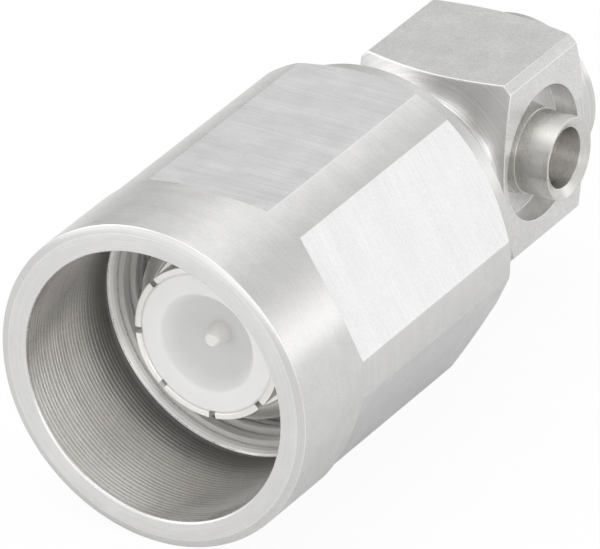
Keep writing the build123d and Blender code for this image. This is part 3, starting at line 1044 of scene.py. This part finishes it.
def wave_spring():
    """Flat wire wound on edge in waves between flat ends, its turns touching crest to crest."""
    steps_per_wave = 24
    steps = round(SPRING_TURNS * WAVES_PER_TURN * steps_per_wave)
    middle = SPRING_FRONT + END_LIFT + SPRING_THICKNESS / 2
    half_width = SPRING_WIDTH / 2
    half_thickness = SPRING_THICKNESS / 2
    flat_half_width = half_width - WIRE_CORNER
    flat_half_thickness = half_thickness - WIRE_CORNER
    section = [
        (-flat_half_width, -half_thickness),
        (flat_half_width, -half_thickness),
        (half_width, -flat_half_thickness),
        (half_width, flat_half_thickness),
        (flat_half_width, half_thickness),
        (-flat_half_width, half_thickness),
        (-half_width, flat_half_thickness),
        (-half_width, -flat_half_thickness),
    ]
    vertices = []
    faces = []
    size = len(section)
    for step in range(steps + 1):
        turn = step / steps * SPRING_TURNS
        angle = math.radians(WIRE_START_ANGLE) + 2 * math.pi * turn
        for across, along in section:
            radius = SPRING_INNER_RADIUS + half_width + across
            vertices.append(around(radius, middle + wire_height(turn) + along, angle))
    for step in range(steps):
        for k in range(size):
            m = (k + 1) % size
            here, following = step * size, (step + 1) * size
            faces.append((here + k, here + m, following + m, following + k))
    faces.append(tuple(range(size)))
    faces.append(tuple(steps * size + k for k in range(size)))
    made = new_object("wave_spring_wire", vertices, faces, spring_finish)
    finish_piece(made, "connector_body", "wave_spring")
    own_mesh(made)


def front_insulator():
    """Insulator with a bowl that curves down to the pin."""
    outer = BASKET_RADIUS - BASKET_WALL
    hole = PIN_RADIUS
    floor = INSULATOR_FRONT + BOWL_DEPTH
    handles = [
        (hole, floor),
        (BOWL_WALL_RADIUS, floor),
        (BOWL_WALL_RADIUS, INSULATOR_FRONT),
        (BOWL_RIM_RADIUS, INSULATOR_FRONT),
    ]
    outline = smooth_curve(handles, BOWL_STEPS) + [
        (outer - INSULATOR_CHAMFER, INSULATOR_FRONT),
        (outer, INSULATOR_FRONT + INSULATOR_CHAMFER),
        (outer, INSULATOR_BACK),
        (hole, INSULATOR_BACK),
    ]
    lathe(
        "white_insulator",
        outline,
        insulator_finish,
        "front_insulator",
        corner=0.0,
    )


def centre_contact():
    """Pin with a blunt rounded nose."""
    handles = [
        (PIN_TIP_RADIUS, PIN_TIP),
        (PIN_RADIUS, PIN_TIP + PIN_NOSE_LENGTH / 4),
        (PIN_RADIUS, PIN_TIP + PIN_NOSE_LENGTH),
    ]
    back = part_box("centre_contact")[1].y / MM
    outline = [(0, PIN_TIP)] + smooth_curve(handles, NOSE_STEPS) + [(PIN_RADIUS, back), (0, back)]
    lathe(
        "pin",
        outline,
        contact_finish,
        "centre_contact",
        segments=PIN_SEGMENTS,
        corner=0.0,
    )


def tube(low, high, inner, outer):
    """Outline of a plain ring between two corners of its node's box."""
    front = (low / MM).y
    back = (high / MM).y
    return [(inner, front), (outer, front), (outer, back), (inner, back)]


def plain_rings():
    """Washer, bush and cover, which are plain rings and a disc, and the stepped shell."""
    lathe(
        "thrust_washer",
        tube(*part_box("front_washer"), WASHER_BORE, CARRIAGE_RADIUS),
        spring_finish,
        "front_washer",
        body="slide_carriage",
    )
    lathe(
        "bush",
        tube(*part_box("guide_bush"), BUSH_BORE, CARRIAGE_RADIUS),
        cone_finish,
        "guide_bush",
        body="slide_carriage",
        corner=TURNED_CORNER,
    )
    lathe(
        "cover",
        tube(*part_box("rear_cap"), 0, CAP_RADIUS),
        cone_finish,
        "rear_cap",
        corner=TURNED_CORNER,
    )
    shell_low, shell_high = (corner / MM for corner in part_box("front_shell"))
    lathe(
        "shell_front",
        [
            (SHELL_BORE, shell_low.y + EDGE_BREAK),
            (SHELL_BORE + EDGE_BREAK, shell_low.y),
            (SHELL_RADIUS, shell_low.y + SHELL_CONE_LENGTH),
            (SHELL_RADIUS, shell_high.y - FLANGE_LENGTH),
            (FLANGE_RADIUS, shell_high.y - FLANGE_LENGTH),
            (FLANGE_RADIUS, shell_high.y),
            (SHELL_BORE, shell_high.y),
        ],
        cone_finish,
        "front_shell",
    )


def carried_over_finishes():
    """Gives the CAD nodes that stay, which are all hidden, finishes of their own."""
    finishes = {
        "retaining_ring": spring_finish,
        "rear_washer": spring_finish,
        "flange_seal": rubber_finish,
        "wiper_ring": rubber_finish,
        "support_bead": insulator_finish,
        "line_insulator": insulator_finish,
        "cap_pad": insulator_finish,
        "ferrule_bead": insulator_finish,
        "solder_tail": contact_finish,
    }
    for node, finish in finishes.items():
        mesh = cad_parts[node].data
        mesh.materials.clear()
        mesh.materials.append(finish)


coupling_nut()
angle_body()
cable_ferrule()
outer_contact()
wave_spring()
front_insulator()
centre_contact()
plain_rings()
carried_over_finishes()


# Floor, light and background
FLOOR_HALF_SIZE = 3.0
FLOOR_WHITE = 1.02
FLOOR_GLOW = 0.17
FLOOR_SHADOW = 0.1
SKY_LEVEL = 0.37
# Each light is (azimuth, elevation, tightness, strength), with azimuth 0 along +Y and 90 along +X
SOFT_LIGHTS = [
    (42, 5, 40, 0.52),
    (-8, 41, 40, 0.27),
    (30, 10, 12, 0.56),
    (60, 10, 12, 0.44),
    (90, 10, 12, 0.21),
    (120, 10, 12, 0.85),
    (150, 10, 12, 0.85),
    (180, 10, 12, 0.85),
    (210, 10, 12, 0.48),
    (240, 10, 12, 0.78),
    (270, 10, 12, 0.42),
    (0, 42, 12, 0.22),
    (240, 42, 12, 0.78),
    (270, 42, 12, 0.55),
    (315, 42, 12, 0.25),
    (0, 85, 6, 0.85),
    (150, 68, 12, 0.85),
]


def floor():
    """Pale floor, white to the camera and bright in reflections, with the object's shadow."""
    size = FLOOR_HALF_SIZE
    mesh = bpy.data.meshes.new("floor")
    corners = [(-size, -size), (size, -size), (size, size), (-size, size)]
    mesh.from_pydata([(x, y, FLOOR_LEVEL) for x, y in corners], [], [(0, 1, 2, 3)])
    made = bpy.data.objects.new("floor", mesh)
    bpy.context.scene.collection.objects.link(made)
    shader = Shader("floor_paper")
    surface = shader.surface
    surface.inputs["Base Color"].default_value = (0.85, 0.85, 0.85, 1)
    surface.inputs["Roughness"].default_value = 0.9
    surface.inputs["Specular IOR Level"].default_value = 0.0
    rays = shader.node("ShaderNodeLightPath")
    mirrored = shader.math(
        "MAXIMUM", rays.outputs["Is Glossy Ray"], rays.outputs["Is Transmission Ray"]
    )
    paper = shader.node("ShaderNodeBsdfDiffuse")
    paper.inputs["Color"].default_value = (0.62, 0.62, 0.62, 1)
    glow = shader.node("ShaderNodeEmission")
    glow.inputs["Strength"].default_value = FLOOR_GLOW
    lit_paper = shader.node("ShaderNodeAddShader")
    shader.link(paper.outputs[0], lit_paper.inputs[0])
    shader.link(glow.outputs[0], lit_paper.inputs[1])
    white = shader.node("ShaderNodeEmission")
    white.inputs["Strength"].default_value = FLOOR_WHITE
    faded = shader.mix(FLOOR_SHADOW, white.outputs[0], lit_paper.outputs[0])
    in_mirrors = shader.mix(mirrored, surface.outputs[0], lit_paper.outputs[0])
    shown = shader.mix(rays.outputs["Is Camera Ray"], in_mirrors, faded)
    shader.link(shown, shader.tree.nodes["Material Output"].inputs["Surface"])
    mesh.materials.append(shader.material)


def studio_light():
    """An even sky with wide soft lights in it."""
    world = bpy.data.worlds.new("studio")
    bpy.context.scene.world = world
    world.use_nodes = True
    tree = world.node_tree
    direction = tree.nodes.new("ShaderNodeTexCoord").outputs["Generated"]

    def math_step(operation, first, amount):
        step = tree.nodes.new("ShaderNodeMath")
        step.operation = operation
        tree.links.new(first, step.inputs[0])
        step.inputs[1].default_value = amount
        return step

    total = None
    for azimuth, elevation, tightness, strength in SOFT_LIGHTS:
        across = math.radians(azimuth)
        above = math.radians(elevation)
        facing = tree.nodes.new("ShaderNodeVectorMath")
        facing.operation = "DOT_PRODUCT"
        facing.inputs[1].default_value = (
            math.sin(across) * math.cos(above),
            math.cos(across) * math.cos(above),
            math.sin(above),
        )
        tree.links.new(direction, facing.inputs[0])
        lit = math_step("MAXIMUM", facing.outputs["Value"], 0.0)
        lit = math_step("POWER", lit.outputs[0], tightness)
        lit = math_step("MULTIPLY", lit.outputs[0], strength)
        joined = math_step("ADD", lit.outputs[0], SKY_LEVEL)
        if total is not None:
            tree.links.new(total, joined.inputs[1])
        total = joined.outputs[0]
    background = tree.nodes["Background"]
    background.inputs["Color"].default_value = (1, 1, 1, 1)
    tree.links.new(total, background.inputs["Strength"])


floor()
studio_light()

bpy.context.scene.view_settings.view_transform = "Standard"
